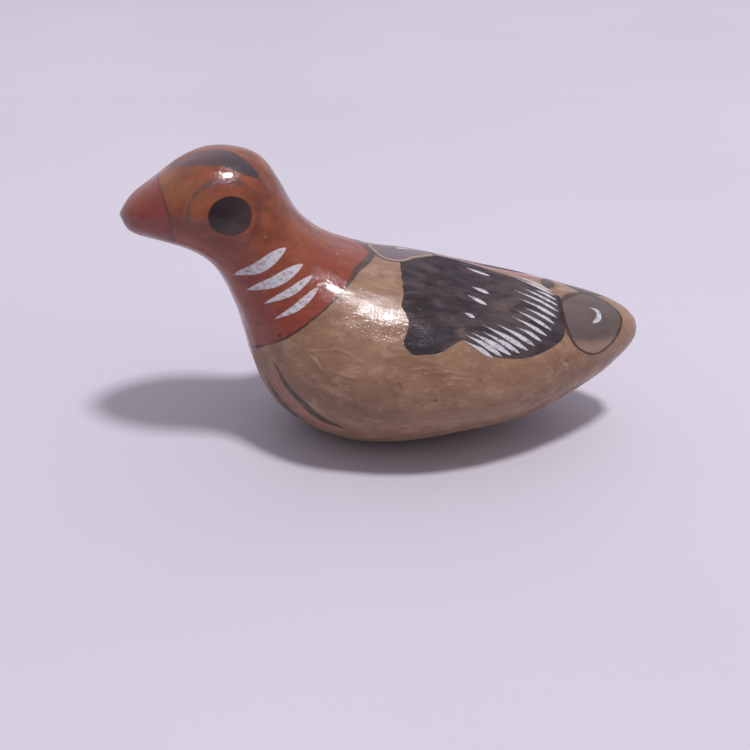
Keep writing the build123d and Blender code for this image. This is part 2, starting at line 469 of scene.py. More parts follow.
# The middle of the bird's hollow, (x, z), from beak to tail.
BODY_AXIS = (
    (-77, 66), (-63, 69), (-50, 70), (-40, 63), (-28, 46), (-14, 33), (0, 27), (30, 25), (52, 26), (77, 30),
)


def outwardness(place, normal):
    """1 on skin that faces away from the middle of the bird, -1 on the walls of its chamber."""
    samples = np.linspace(-74, 72, 60)
    axis = np.stack([samples, 0 * samples, follow(samples, BODY_AXIS)], axis=1)
    nearest = np.zeros(len(place), int)
    best = np.full(len(place), np.inf)
    for i, point in enumerate(axis):
        gap = np.sum((place - point) ** 2, axis=1)
        closer = gap < best
        best[closer] = gap[closer]
        nearest[closer] = i
    radial = place - axis[nearest]
    radial /= np.maximum(np.linalg.norm(radial, axis=1), 1e-6)[:, None]
    return np.sum(radial * normal, axis=1)


# ---------------------------------------------------------------- mesh work
def placed(name, data):
    """A new object in the scene."""
    made = bpy.data.objects.new(name, data)
    bpy.context.scene.collection.objects.link(made)
    return made


def joined(names):
    """The named CAD nodes as one closed surface."""
    bm = bmesh.new()
    for name in names:
        bm.from_mesh(frame["nodes"][name].data)
    bmesh.ops.remove_doubles(bm, verts=bm.verts, dist=1e-6)
    mesh = bpy.data.meshes.new("joined")
    bm.to_mesh(mesh)
    bm.free()
    return mesh


def even_mesh(source, voxel, turn=0.0):
    """The surface rebuilt from even quads on a grid turned that far about Z, without crumbs."""
    source.transform(Matrix.Rotation(turn, 4, "Z"))
    holder = placed("holder", source)
    remesh = holder.modifiers.new("even", "REMESH")
    remesh.mode = "VOXEL"
    remesh.voxel_size = voxel * MM
    remesh.adaptivity = 0
    graph = bpy.context.evaluated_depsgraph_get()
    mesh = bpy.data.meshes.new_from_object(holder.evaluated_get(graph))
    bpy.data.objects.remove(holder)
    bpy.data.meshes.remove(source)
    mesh.transform(Matrix.Rotation(-turn, 4, "Z"))
    bm = bmesh.new()
    bm.from_mesh(mesh)
    for crumb in crumbs(bm):
        bmesh.ops.delete(bm, geom=crumb, context="VERTS")
    bm.to_mesh(mesh)
    bm.free()
    return mesh


def crumbs(bm, smallest=200):
    """Loose islands with fewer vertices than that."""
    found = []
    seen = set()
    for first in bm.verts:
        if first in seen:
            continue
        island = [first]
        seen.add(first)
        for vertex in island:
            for edge in vertex.link_edges:
                other = edge.other_vert(vertex)
                if other not in seen:
                    seen.add(other)
                    island.append(other)
        if len(island) < smallest:
            found.append(island)
    return found


def read(items, name, width=1, kind=float):
    """One property of all the items as an array, a row for each."""
    values = np.zeros(len(items) * width, kind)
    items.foreach_get(name, values)
    return values.reshape(-1, width) if width > 1 else values


def coordinates(mesh):
    return read(mesh.vertices, "co", 3) / MM


def set_coordinates(mesh, place):
    mesh.vertices.foreach_set("co", (place * MM).ravel())
    mesh.update()


def averaged(values, edges, count):
    """Each vertex's mean over its neighbours."""
    valence = np.bincount(edges.ravel(), minlength=count)
    columns = []
    for column in values.T:
        total = np.bincount(edges[:, 0], column[edges[:, 1]], count)
        total = total + np.bincount(edges[:, 1], column[edges[:, 0]], count)
        columns.append(total / valence)
    return np.stack(columns, axis=1)


def edge_list(mesh):
    return read(mesh.edges, "vertices", 2, int)


def smoothed(mesh, rounds):
    """Smooths out the voxel steps without shrinking the form."""
    place = coordinates(mesh)
    edges = edge_list(mesh)
    for _ in range(rounds):
        for push in (0.5, -0.52):
            place += push * (averaged(place, edges, len(place)) - place)
    place[:, 2] = np.where(place[:, 2] < 0.06, 0, place[:, 2])
    set_coordinates(mesh, place)


def facing_weight(facing):
    """0 where a face looks away from the wanted direction, rising to 1 where it looks that way."""
    return np.clip((facing - 0.35) / 0.35, 0, 1)


def round_holes(place, normal):
    """Draws the walls of the finger holes to slightly uneven rounds, as a pushed stick leaves them."""
    openings = [o for o in frame["record"]["physics"]["openings"] if o["name"].startswith("finger_hole")]
    for turn, (opening, radius) in enumerate(zip(openings, FINGER_HOLE_RADII)):
        low, high = np.array(opening["box_m"]) / MM
        offset = place[:, [0, 2]] - ((low + high) / 2)[[0, 2]]
        reach = np.linalg.norm(offset, axis=1)
        spread = offset / reach[:, None]
        angle = np.arctan2(offset[:, 1], offset[:, 0])
        wanted = radius * (1 + 0.02 * np.sin(2 * angle + turn) + 0.012 * np.sin(3 * angle + 2 * turn))
        near = (np.abs(reach - radius) < 1.0) & (place[:, 1] > WINDOW_INNER_Y)
        weight = near * facing_weight(-np.sum(normal[:, [0, 2]] * spread, axis=1))
        place[:, [0, 2]] += (weight * (wanted - reach))[:, None] * spread


def flat_walls(place, normal):
    """Draws the walls of the knife-cut window and of the windway to flat planes."""
    x, y, z = place.T
    in_window = (x > RAMP_END_X) & (x < TAIL_JOINT_X + 1) & (y > WINDOW_INNER_Y)
    for level, side in ((WINDOW_BOTTOM, 1), (WINDOW_TOP, -1)):
        weight = (in_window & (np.abs(z - level) < 1)) * facing_weight(side * normal[:, 2])
        place[:, 2] += weight * (level - z)
    at_exit = (np.abs(x - TAIL_JOINT_X) < 1) & (y > WINDOW_INNER_Y)
    at_exit &= (z > WINDOW_BOTTOM - 1) & (z < WINDOW_TOP + 1)
    place[:, 0] += at_exit * facing_weight(-normal[:, 0]) * (TAIL_JOINT_X - x)

    offset = place - WINDWAY_EXIT
    across = offset @ WINDWAY_ACROSS
    up = offset @ np.cross(WINDWAY_RUN, WINDWAY_ACROSS)
    side = np.sign(across)
    near = (np.abs(np.abs(across) - WINDWAY_THICK / 2) < 0.9) & (np.abs(up) < WINDWAY_HEIGHT / 2 + 0.5)
    near &= offset @ WINDWAY_RUN > BLOCK_LENGTH
    weight = near * facing_weight(-side * (normal @ WINDWAY_ACROSS))
    place += (weight * (side * WINDWAY_THICK / 2 - across))[:, None] * WINDWAY_ACROSS


def cut_openings(mesh):
    """Gives the openings the clean walls of their making, with rims wiped soft by a wet finger."""
    place = coordinates(mesh)
    edges = edge_list(mesh)
    touched = np.zeros((len(place), 1))
    for wiping in range(RIM_WIPES + 1):
        normal = smooth_normals(mesh, 1)
        before = place.copy()
        round_holes(place, normal)
        flat_walls(place, normal)
        if wiping < RIM_WIPES:
            moved = np.linalg.norm(place - before, axis=1, keepdims=True) > 0.01
            touched = np.maximum(touched, moved)
            rim = touched
            for _ in range(3):
                rim = np.maximum(rim, np.minimum(2 * averaged(rim, edges, len(place)), 1))
            place += 0.5 * rim * (averaged(place, edges, len(place)) - place)
        set_coordinates(mesh, place)


def smooth_normals(mesh, rounds=3):
    normals = read(mesh.vertex_normals, "vector", 3)
    edges = edge_list(mesh)
    for _ in range(rounds):
        normals = normals + averaged(normals, edges, len(normals))
        normals /= np.linalg.norm(normals, axis=1)[:, None]
    return normals


def set_vectors(mesh, name, vectors):
    layer = mesh.attributes.get(name) or mesh.attributes.new(name, "FLOAT_VECTOR", "POINT")
    layer.data.foreach_set("vector", vectors.astype(np.float32).ravel())


def get_vectors(mesh, name):
    vectors = read(mesh.attributes[name].data, "vector", 3)
    return vectors / np.linalg.norm(vectors, axis=1)[:, None]


def fine_work(place, normal):
    """How far each place is from anything small, in mm: a thin stroke, a line, a pit or a scratch."""
    fields = paint_fields(place, normal)
    small = ("white", "line", "ring", "thin", "eye", "fleck")
    gap = np.minimum.reduce([np.abs(fields[name]) for name in small])
    flank = flank_view(place)
    left = place[:, 1] < 0
    for along, up, radius in PITS:
        gap = np.where(left, np.minimum(gap, np.linalg.norm(flank - (along, up), axis=1) - 2 * radius), gap)
    return np.where(left, np.minimum(gap, scratch_gap(flank) - 0.9), gap)


def refined(mesh):
    """Divides the faces near small painted and scratched work, so that its edges stay sharp."""
    for reach in REFINED_REACH:
        place = coordinates(mesh)
        normal = get_vectors(mesh, "normal")
        on_skin = outwardness(place, normal) > 0
        close = on_skin & (fine_work(place, normal) < reach)
        bm = bmesh.new()
        bm.from_mesh(mesh)
        bm.verts.ensure_lookup_table()
        edges = [
            e for e in bm.edges
            if close[e.verts[0].index] and close[e.verts[1].index] and e.calc_length() > FINEST_EDGE * MM
        ]
        bmesh.ops.subdivide_edges(bm, edges=edges, cuts=1, use_grid_fill=True)
        bmesh.ops.triangulate(bm, faces=[f for f in bm.faces if len(f.verts) > 4])
        bm.to_mesh(mesh)
        bm.free()
    return mesh


def worked_skin(mesh):
    """Gives the even form its hand-shaped unevenness, with normals that follow it exactly."""
    place = coordinates(mesh)
    normal = get_vectors(mesh, "normal")
    outward = outwardness(place, normal)
    skin = np.clip(outward * 3, 0, 1)
    chamber = np.clip(-outward * 3, 0, 1)
    foot = np.clip((place[:, 2] - 0.4) / 2.5, 0, 1)
    openings = openings_gap(place)
    fade = np.clip((openings - 1.0) / 4, 0, 1)

    def height(at):
        return (skin * outside_height(at) + chamber * inside_height(at)) * foot * fade

    here = height(place)
    small = 0.04
    slope = np.stack([(height(place + small * axis) - here) / small for axis in np.eye(3)], axis=1)
    slope -= np.sum(slope * normal, axis=1)[:, None] * normal
    leaning = normal - slope
    leaning /= np.linalg.norm(leaning, axis=1)[:, None]
    place = place + here[:, None] * normal
    place[:, 2] = np.maximum(place[:, 2], 0)
    set_coordinates(mesh, place)
    set_vectors(mesh, "normal", leaning)
    return place, leaning, outward


def openings_gap(place):
    """Distance to the whistle's window, finger holes and mouth, whose edges stay crisp."""
    x, y, z = place.T
    gap = np.full(len(place), FAR)
    for opening in frame["record"]["physics"]["openings"]:
        if not opening["name"].startswith("chamber"):
            low, high = np.array(opening["box_m"]) / MM
            along = np.maximum(np.maximum(low[0] - x, x - high[0]), 0)
            up = np.maximum(np.maximum(low[2] - z, z - high[2]), 0)
            gap = np.where(y > 0, np.minimum(gap, np.hypot(along, up)), gap)
    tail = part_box("mouthpiece")[1].x / MM
    return np.minimum(gap, np.hypot(tail - x, y) - 1.5)


# ---------------------------------------------------------------- splitting into the built pieces
SKIN_SLOT, CUT_SLOT, CHAMBER_SLOT = 0, 1, 2


def clay_piece(whole, name, cuts):
    """One closed piece of the body: what lies on the far side of each (point, direction) cut, capped flat."""
    bm = bmesh.new()
    bm.from_mesh(whole)
    for face in bm.faces:
        face.smooth = True
    for point, direction in cuts:
        geometry = bm.verts[:] + bm.edges[:] + bm.faces[:]
        bmesh.ops.bisect_plane(
            bm, geom=geometry, dist=1e-7, plane_co=point, plane_no=direction, clear_outer=True
        )
        rim = [e for e in bm.edges if len(e.link_faces) == 1]
        cap = bmesh.ops.triangle_fill(bm, use_beauty=True, edges=rim, normal=direction)
        for face in cap["geom"]:
            if isinstance(face, bmesh.types.BMFace):
                face.material_index = CUT_SLOT
                face.smooth = False
    bmesh.ops.recalc_face_normals(bm, faces=bm.faces)
    mesh = bpy.data.meshes.new(name)
    bm.to_mesh(mesh)
    bm.free()
    carry_normals(mesh)
    return placed(name, mesh)


def carry_normals(mesh):
    """Shades the skin by the whole bird's normals, so that no seam shows, and the cut faces flat."""
    vertex_normals = get_vectors(mesh, "normal")
    corners = vertex_normals[read(mesh.loops, "vertex_index", kind=int)]
    sizes = read(mesh.polygons, "loop_total", kind=int)
    flat = np.repeat(read(mesh.polygons, "material_index", kind=int) == CUT_SLOT, sizes)
    corners[flat] = np.repeat(read(mesh.polygons, "normal", 3), sizes, axis=0)[flat]
    mesh.attributes.remove(mesh.attributes["normal"])
    mesh.normals_split_custom_set(corners.tolist())


def mark_chamber(mesh, outward):
    """Gives faces well inside the chamber the bare clay."""
    sizes = read(mesh.polygons, "loop_total", kind=int)
    starts = np.concatenate([[0], np.cumsum(sizes)[:-1]])
    most = np.maximum.reduceat(outward[read(mesh.loops, "vertex_index", kind=int)], starts)
    slots = np.where(most < -0.4, CHAMBER_SLOT, SKIN_SLOT)
    mesh.polygons.foreach_set("material_index", slots.astype(np.int32))


# ---------------------------------------------------------------- materials
SKY_LOW = 0.20
SKY_HIGH = 0.50
WALL_GLOW = 0.40
SKY_COLOUR = (0.93, 0.90, 1.0)
BACKDROP = 0.62
FLOOR_TONES = ((0.615, 0.585, 0.665), (0.645, 0.615, 0.695))
FLOOR_FADE = (500, 2500)
COAT_ROUGHNESS = 0.035
SKIN_SPECULAR = 0.12

TAN = (0.360, 0.204, 0.124)
TAN_BROWN = (0.235, 0.127, 0.076)
TAN_PALE = (0.49, 0.31, 0.21)
TAIL_PALE = (0.365, 0.225, 0.150)
# Yellow-brown of the band low on the flanks, made lighter as painted light from below.
OCHRE_AND_LIGHT_FROM_BELOW = (0.50, 0.36, 0.20)
BRICK = (0.278, 0.053, 0.031)
ORANGE = (0.250, 0.067, 0.030)
YELLOW_OCHRE = (0.37, 0.155, 0.062)
HOT_RED = (0.255, 0.036, 0.014)
BEAK_RED = (0.275, 0.059, 0.043)
BEAK_BLOTCH = (0.19, 0.038, 0.036)
CHARCOAL = (0.024, 0.018, 0.023)
CHARCOAL_BLUE = (0.018, 0.017, 0.028)
SLATE = (0.058, 0.046, 0.056)
SLATE_REAR = (0.098, 0.077, 0.086)
WORN_WING = (0.155, 0.105, 0.090)
EYE_BLACK = (0.018, 0.008, 0.013)
EYE_BROWN = (0.060, 0.030, 0.031)
LINE_BROWN = (0.055, 0.028, 0.027)
THIN_LINE = (0.13, 0.035, 0.042)
RING_RED = (0.14, 0.040, 0.035)
VIOLET = (0.105, 0.060, 0.070)
CREST_DARK = (0.050, 0.040, 0.050)
GREY_LILAC = (0.25, 0.195, 0.22)
LENS_SLATE = (0.170, 0.130, 0.148)
TAIL_GREY = (0.130, 0.102, 0.098)
TAIL_DARK = (0.105, 0.082, 0.085)
TAIL_BEIGE = (0.38, 0.26, 0.195)
WHITE_SLIP = (0.64, 0.63, 0.67)
ROSE = (0.40, 0.165, 0.13)
BACK_RED_PAINT = (0.38, 0.13, 0.13)
GRIME = (0.080, 0.040, 0.030)
RAW_CLAY = (0.34, 0.17, 0.105)
RAW_CLAY_DEEP = (0.30, 0.145, 0.095)
GRIT_PALE = (0.55, 0.36, 0.25)
GRIT_DARK = (0.14, 0.07, 0.05)


class Nodes:
    """Short calls for one material's node tree, with lengths in millimetres."""

    def __init__(self, name):
        self.material = bpy.data.materials.new(name)
        self.material.use_nodes = True
        self.tree = self.material.node_tree
        self.tree.nodes.clear()
        place = self.add("ShaderNodeTexCoord").outputs["Object"]
        self.mm = self.vector("SCALE", place, scale=1 / MM)
        apart = self.add("ShaderNodeSeparateXYZ")
        self.put(apart.inputs[0], self.mm)
        self.x, self.z = apart.outputs[0], apart.outputs[2]

    def add(self, kind, **settings):
        node = self.tree.nodes.new(kind)
        for key, value in settings.items():
            setattr(node, key, value)
        return node

    def put(self, socket, value):
        if isinstance(value, bpy.types.NodeSocket):
            self.tree.links.new(value, socket)
        elif isinstance(value, tuple) and socket.type == "RGBA":
            socket.default_value = (*value, 1)
        else:
            socket.default_value = value

    def vector(self, operation, a, b=None, scale=None):
        node = self.add("ShaderNodeVectorMath", operation=operation)
        self.put(node.inputs[0], a)
        if b is not None:
            self.put(node.inputs[1], b)
        if scale is not None:
            self.put(node.inputs["Scale"], scale)
        return node.outputs[0]

    def math(self, operation, a, b):
        node = self.add("ShaderNodeMath", operation=operation)
        self.put(node.inputs[0], a)
        self.put(node.inputs[1], b)
        return node.outputs[0]

    def plus(self, a, b):
        return self.math("ADD", a, b)

    def times(self, a, b):
        return self.math("MULTIPLY", a, b)

    def most(self, a, b):
        return self.math("MAXIMUM", a, b)

    def swing(self, pattern, amount):
        """The 0 to 1 pattern as a swing round zero, amount from end to end."""
        return self.times(self.math("SUBTRACT", pattern, 0.5), amount)

    def field(self, name):
        return self.add("ShaderNodeAttribute", attribute_name=name).outputs["Fac"]

    def ramp(self, value, start, end, low=0.0, high=1.0):
        """Eases from low, where value is at start, to high, where it is at end."""
        node = self.add("ShaderNodeMapRange", interpolation_type="SMOOTHSTEP")
        names = ("Value", "From Min", "From Max", "To Min", "To Max")
        for name, number in zip(names, (value, start, end, low, high)):
            self.put(node.inputs[name], number)
        return node.outputs["Result"]

    def noise(self, size, stretch=(1, 1, 1), detail=3.0, roughness=0.55, twist=0.0, offset=0.0):
        """Cloudy 0 to 1 pattern whose blotches are about that many mm across."""
        node = self.add("ShaderNodeTexNoise", noise_dimensions="4D")
        self.put(node.inputs["Vector"], self.vector("MULTIPLY", self.mm, stretch))
        self.put(node.inputs["W"], offset)
        self.put(node.inputs["Scale"], 1 / size)
        self.put(node.inputs["Detail"], detail)
        self.put(node.inputs["Roughness"], roughness)
        self.put(node.inputs["Distortion"], twist)
        return node.outputs["Fac"]

    def noise_colour(self, size):
        """A noise vector round zero, for making a pattern wander."""
        node = self.add("ShaderNodeTexNoise")
        self.put(node.inputs["Vector"], self.mm)
        self.put(node.inputs["Scale"], 1 / size)
        return self.vector("SUBTRACT", node.outputs["Color"], (0.5, 0.5, 0.5))

    def mix(self, factor, a, b):
        node = self.add("ShaderNodeMix", data_type="RGBA")
        self.put(node.inputs[0], factor)
        self.put(node.inputs[6], a)
        self.put(node.inputs[7], b)
        return node.outputs[2]

    def over(self, under, paint, cover, strength=1.0):
        """The paint brushed over what lies under it, as thickly as cover and strength say."""
        return self.mix(self.times(cover, strength), under, paint)

    def shade(self, colour, pattern, amount):
        """The colour, darker and lighter by that share with the pattern."""
        dark = tuple(c * (1 - amount) for c in colour)
        light = tuple(min(c * (1 + amount), 1) for c in colour)
        return self.mix(self.ramp(pattern, 0.32, 0.68), dark, light)

    def mask(self, name, soft=0.12, wobble=None, amount=0.3):
        """1 inside a painted shape and 0 outside it, with a brushed edge."""
        edge = self.field(name)
        if wobble is not None:
            edge = self.plus(edge, self.swing(wobble, amount * 4))
        return self.ramp(edge, soft, -soft)

    def bump(self, height, depth, normal=None):
        """A relief of that many mm where height goes from 0 to 1."""
        node = self.add("ShaderNodeBump")
        self.put(node.inputs["Strength"], 1.0)
        self.put(node.inputs["Distance"], depth * MM)
        self.put(node.inputs["Height"], height)
        if normal is not None:
            self.put(node.inputs["Normal"], normal)
        return node.outputs["Normal"]

    def principled(self, colour, roughness, normal, coat=0.0, coat_roughness=0.1, specular=0.5):
        shader = self.add("ShaderNodeBsdfPrincipled")
        self.put(shader.inputs["Base Color"], colour)
        self.put(shader.inputs["Roughness"], roughness)
        self.put(shader.inputs["Normal"], normal)
        shader.inputs["Specular IOR Level"].default_value = specular
        self.put(shader.inputs["Coat Weight"], coat)
        shader.inputs["Coat Roughness"].default_value = coat_roughness
        self.put(shader.inputs["Coat Normal"], normal)
        return shader.outputs[0]

    def finish(self, surface):
        self.put(self.add("ShaderNodeOutputMaterial").inputs[0], surface)
        return self.material


class PaintedClay(Nodes):
    """The bird's skin: coats of slip laid one over another, with their polish and relief."""

    def __init__(self):
        super().__init__("painted_clay")
        self.blotch = self.noise(5.0, stretch=(0.65, 1, 1), detail=4, offset=3)
        self.streak = self.noise(1.9, stretch=(0.26, 1, 1), detail=4, roughness=0.6, twist=0.4, offset=5)
        self.fine_streak = self.noise(0.6, stretch=(0.16, 1, 1), detail=3, offset=9)
        self.wobble = self.noise(1.6, detail=2, offset=13)
        self.colour = TAN

    def lay(self, paint, cover, strength=1.0):
        self.colour = self.over(self.colour, paint, cover, strength)

    def brushed(self, name, soft, amount=0.3):
        """The mask of a shape whose edge wanders as a brush does."""
        return self.mask(name, soft, self.wobble, amount)


def paint_body(g):
    """Burnished tan, paler towards the tail, with the breast's red, a paler spot high on the shoulder that is
    painted light from above, and a yellow-brown band low on the flanks where they turn under, which is the
    clay's colour and also painted light thrown up from below.
    """
    cloud = g.noise(19, detail=2)
    g.lay(g.shade(TAN_BROWN, g.blotch, 0.14), g.ramp(cloud, 0.36, 0.66, 0.15, 0.70))
    g.lay(TAN_PALE, g.ramp(g.blotch, 0.50, 0.70), 0.60)
    g.lay(TAN_BROWN, g.ramp(g.streak, 0.50, 0.34), 0.42)
    g.lay(TAN_PALE, g.ramp(g.fine_streak, 0.52, 0.72), 0.16)
    dabs = g.noise(2.6, stretch=(0.5, 1, 1), detail=5, roughness=0.62, offset=17)
    g.lay(TAN_BROWN, g.ramp(dabs, 0.53, 0.62), 0.46)
    g.lay(TAN_PALE, g.ramp(dabs, 0.45, 0.37), 0.36)
    scratch_cover = g.ramp(g.noise(1.5, detail=3, offset=59), 0.35, 0.65, 0.05, 0.45)
    g.lay(TAN_PALE, g.ramp(g.field("scratch"), 0.45, 0.1), scratch_cover)
    # Painted light from above: the clay paler high on the shoulder.
    g.lay(TAN_PALE, g.field("pale"), g.ramp(g.streak, 0.3, 0.7, 0.05, 0.40))
    g.lay(g.shade(TAIL_PALE, g.blotch, 0.12), g.ramp(g.x, 58, 76), 0.75)
    # Painted light from below on yellow-brown clay, in a band where the flanks turn under.
    g.lay(g.shade(OCHRE_AND_LIGHT_FROM_BELOW, g.streak, 0.15), g.brushed("ochre_and_light_from_below", 2.0, 1.0), 0.75)
    g.lay(g.shade(ROSE, g.blotch, 0.25), g.brushed("red", 0.6), 0.60)


def paint_back_and_tail(g):
    g.lay(g.shade(GREY_LILAC, g.blotch, 0.25), g.brushed("strip", 0.9, 0.7), 0.85)
    g.lay(ROSE, g.mask("strip", 0.4, g.blotch, 1.6), 0.55)
    g.lay(g.shade(BACK_RED_PAINT, g.blotch, 0.2), g.brushed("back_red", 0.8, 0.6), 0.85)
    g.lay(g.shade(TAIL_BEIGE, g.streak, 0.14), g.brushed("rear", 0.5), 0.85)
    lens_depth = g.ramp(g.plus(g.field("lens"), g.times(g.blotch, 0.6)), -0.6, -1.2)
    lens = g.mix(lens_depth, TAIL_BEIGE, g.shade(LENS_SLATE, g.streak, 0.16))
    g.lay(lens, g.brushed("lens", 0.3), 0.92)
    crescent = g.ramp(g.plus(g.field("up"), g.times(g.x, -0.12)), 15.5, 11.5)
    crescent = g.times(crescent, g.ramp(g.field("tail"), -5.5, -2.2, 0.30, 1.0))
    grey = g.shade(TAIL_GREY, g.streak, 0.16)
    tail = g.mix(g.ramp(g.blotch, 0.38, 0.62), grey, TAIL_DARK)
    tail = g.over(tail, TAIL_BEIGE, crescent, 0.85)
    g.lay(tail, g.brushed("tail", 0.25, 0.15), 0.90)


def paint_head_and_beak(g):
    high = g.ramp(g.plus(g.z, g.swing(g.blotch, 30)), 49, 66)
    head = g.mix(high, g.shade(BRICK, g.streak, 0.16), g.shade(ORANGE, g.blotch, 0.26))
    yellow = g.times(g.field("yellow"), g.ramp(g.blotch, 0.3, 0.7, 0.5, 0.95))
    head = g.mix(yellow, head, YELLOW_OCHRE)
    ruddy = g.times(g.field("ruddy"), g.ramp(g.streak, 0.3, 0.7, 0.45, 0.9))
    head = g.mix(ruddy, head, HOT_RED)
    smudges = g.noise(4, stretch=(1, 1, 0.5), detail=5, offset=21)
    head = g.over(head, BEAK_BLOTCH, g.ramp(smudges, 0.54, 0.68), 0.42)
    warm_smudges = g.noise(3, stretch=(1, 1, 0.4), detail=4, offset=23)
    head = g.over(head, YELLOW_OCHRE, g.ramp(warm_smudges, 0.56, 0.68), 0.25)
    g.lay(head, g.brushed("head", 0.2, 0.1))
    low = g.plus(g.z, g.swing(g.noise(4, detail=3, offset=25), 16))
    beak = g.mix(g.ramp(low, 72, 65, 0.0, 0.75), g.shade(BEAK_RED, g.blotch, 0.10), BEAK_BLOTCH)
    g.lay(beak, g.brushed("beak", 0.25, 0.1))


def paint_ring_and_crest(g):
    ring = g.mix(g.ramp(g.x, -47, -38), VIOLET, RING_RED)
    ring_cover = g.ramp(g.noise(2.5, offset=29), 0.35, 0.65, 0.35, 0.80)
    g.lay(ring, g.brushed("ring", 0.25, 0.12), ring_cover)
    thin_cover = g.ramp(g.noise(3, offset=31), 0.35, 0.6, 0.45, 0.85)
    g.lay(THIN_LINE, g.brushed("thin", 0.15, 0.06), thin_cover)
    crest = g.mix(g.ramp(g.x, -54, -42), VIOLET, g.shade(CREST_DARK, g.streak, 0.22))
    g.lay(crest, g.brushed("crest", 0.22, 0.2), g.ramp(g.x, -64, -50, 0.60, 0.93))


def paint_eye(g):
    """Black, browner at its lower rear, with small chips at its rim."""
    lower_rear = g.math("SUBTRACT", g.times(g.x, 0.6), g.times(g.z, 0.8))
    lower_rear = g.plus(lower_rear, 0.8 * 72 + 0.6 * 44)
    lower_rear = g.plus(lower_rear, g.swing(g.blotch, 8))
    eye = g.mix(g.ramp(lower_rear, -2.2, 3.6), EYE_BLACK, EYE_BROWN)
    chips = g.ramp(g.noise(0.9, detail=4, roughness=0.7, offset=35), 0.60, 0.66)
    at_rim = g.times(g.ramp(g.field("eye"), -2.4, -0.3), g.ramp(g.x, -44, -40))
    whole = g.math("SUBTRACT", 1.0, g.times(g.times(chips, at_rim), 0.8))
    g.lay(eye, g.brushed("eye", 0.16, 0.05), whole)


def paint_wing(g):
    """Dark slip, lighter to the rear, with brush marks, worn places and scuffs."""
    wing = g.mix(g.ramp(g.blotch, 0.38, 0.62), SLATE, CHARCOAL)
    wing = g.over(wing, CHARCOAL, g.ramp(g.streak, 0.56, 0.34), 0.45)
    wing = g.over(wing, g.shade(SLATE_REAR, g.streak, 0.2), g.ramp(g.x, 20, 40), 0.6)
    wing = g.over(wing, CHARCOAL_BLUE, g.field("cool"), 0.9)
    patches = g.noise(2.6, stretch=(0.6, 1, 1), detail=4, offset=37)
    worn = g.times(g.field("wear"), g.ramp(patches, 0.40, 0.60))
    wing = g.over(wing, WORN_WING, worn, 0.85)
    scuffs = g.noise(0.9, stretch=(0.3, 1, 1), detail=4, offset=39)
    wing = g.over(wing, WORN_WING, g.ramp(scuffs, 0.64, 0.70), 0.40)
    brushing = g.noise(2.6, stretch=(0.32, 1, 1), detail=3, roughness=0.5, twist=0.5, offset=53)
    wing = g.over(wing, SLATE_REAR, g.ramp(brushing, 0.50, 0.68), 0.60)
    wing = g.over(wing, CHARCOAL_BLUE, g.ramp(brushing, 0.50, 0.34), 0.75)
    jag = g.swing(g.noise(1.4, stretch=(0.5, 1, 1), detail=3, offset=55), 1.0)
    jag = g.times(jag, g.ramp(g.x, 8, 4, 0.35, 1.6))
    g.wing_mask = g.ramp(g.plus(g.field("wing"), jag), 0.14, -0.14)
    g.lay(wing, g.wing_mask, g.ramp(g.fine_streak, 0.25, 0.5, 0.92, 0.985))
    g.lay(CHARCOAL, g.brushed("blob", 0.4), 0.85)


def paint_lines_and_white(g):
    line_cover = g.ramp(g.noise(1.8, offset=41), 0.30, 0.55, 0.60, 0.93)
    g.lay(g.shade(LINE_BROWN, g.streak, 0.3), g.brushed("line", 0.16, 0.08), line_cover)
    worn = g.noise(0.7, stretch=(0.5, 1, 1), detail=4, roughness=0.72, offset=43)
    g.white = g.times(g.brushed("white", 0.12, 0.04), g.ramp(worn, 0.35, 0.50, 0.34, 0.96))
    g.lay(g.shade(WHITE_SLIP, worn, 0.10), g.white)


def wear_down(g):
    g.lay(YELLOW_OCHRE, g.mask("fleck", 0.15), 0.85)
    g.lay(GRIME, g.ramp(g.noise(1.1, detail=1, offset=45), 0.735, 0.76), 0.55)
    grain = g.noise(0.35, detail=3, roughness=0.7, offset=11)
    g.lay(GRIME, g.ramp(grain, 0.35, 0.6), 0.10)
    ragged = g.plus(g.field("outward"), g.swing(g.wobble, 0.4))
    g.bare = g.ramp(ragged, 0.25, -0.05)
    g.lay(g.shade(RAW_CLAY, g.noise(1.5, offset=47), 0.2), g.bare)
    foot_wear = g.ramp(g.noise(3, detail=4, offset=49), 0.35, 0.6)
    g.lay(TAN_PALE, g.times(g.ramp(g.z, 0.55, 0.1), foot_wear), 0.6)


def skin_roughness(g):
    rough = g.ramp(g.streak, 0.3, 0.7, 0.42, 0.54)
    rough = g.plus(rough, g.times(g.ramp(g.blotch, 0.4, 0.7), 0.06))
    rough = g.most(rough, g.times(g.mask("head", 0.6), 0.68))
    rough = g.most(rough, g.times(g.wing_mask, 0.60))
    return g.most(rough, g.times(g.bare, 0.85))


def skin_gloss(g):
    """How much burnish there is: most on the head, and hardly any on the wing or on bare clay."""
    dulled = g.most(g.times(g.wing_mask, 0.92), g.times(g.white, 0.6))
    dulled = g.most(dulled, g.bare)
    polish = g.ramp(g.noise(7, detail=3, offset=57), 0.3, 0.6, 0.45, 0.62)
    polish = g.plus(polish, g.times(g.mask("head", 0.6), 0.30))
    return g.times(g.math("SUBTRACT", 1.0, dulled), polish)


def skin_relief(g):
    """Burnishing streaks, fine dents, crackle and the thickness of the white slip."""
    crackle = g.add("ShaderNodeTexVoronoi", feature="DISTANCE_TO_EDGE")
    wander = g.vector("SCALE", g.noise_colour(0.8), scale=0.8)
    g.put(crackle.inputs["Vector"], g.vector("ADD", g.mm, wander))
    g.put(crackle.inputs["Scale"], 1.1)
    on_body = g.ramp(g.field("head"), -1.5, 8, 0.25, 1.0)
    dents = g.times(g.noise(0.75, detail=3, roughness=0.6, offset=51), on_body)
    normal = g.bump(g.times(g.streak, on_body), 0.14)
    normal = g.bump(g.fine_streak, 0.008, normal)
    normal = g.bump(dents, 0.036, normal)
    normal = g.bump(g.ramp(crackle.outputs["Distance"], 0.0, 0.12), 0.012, normal)
    return g.bump(g.white, 0.02, normal)


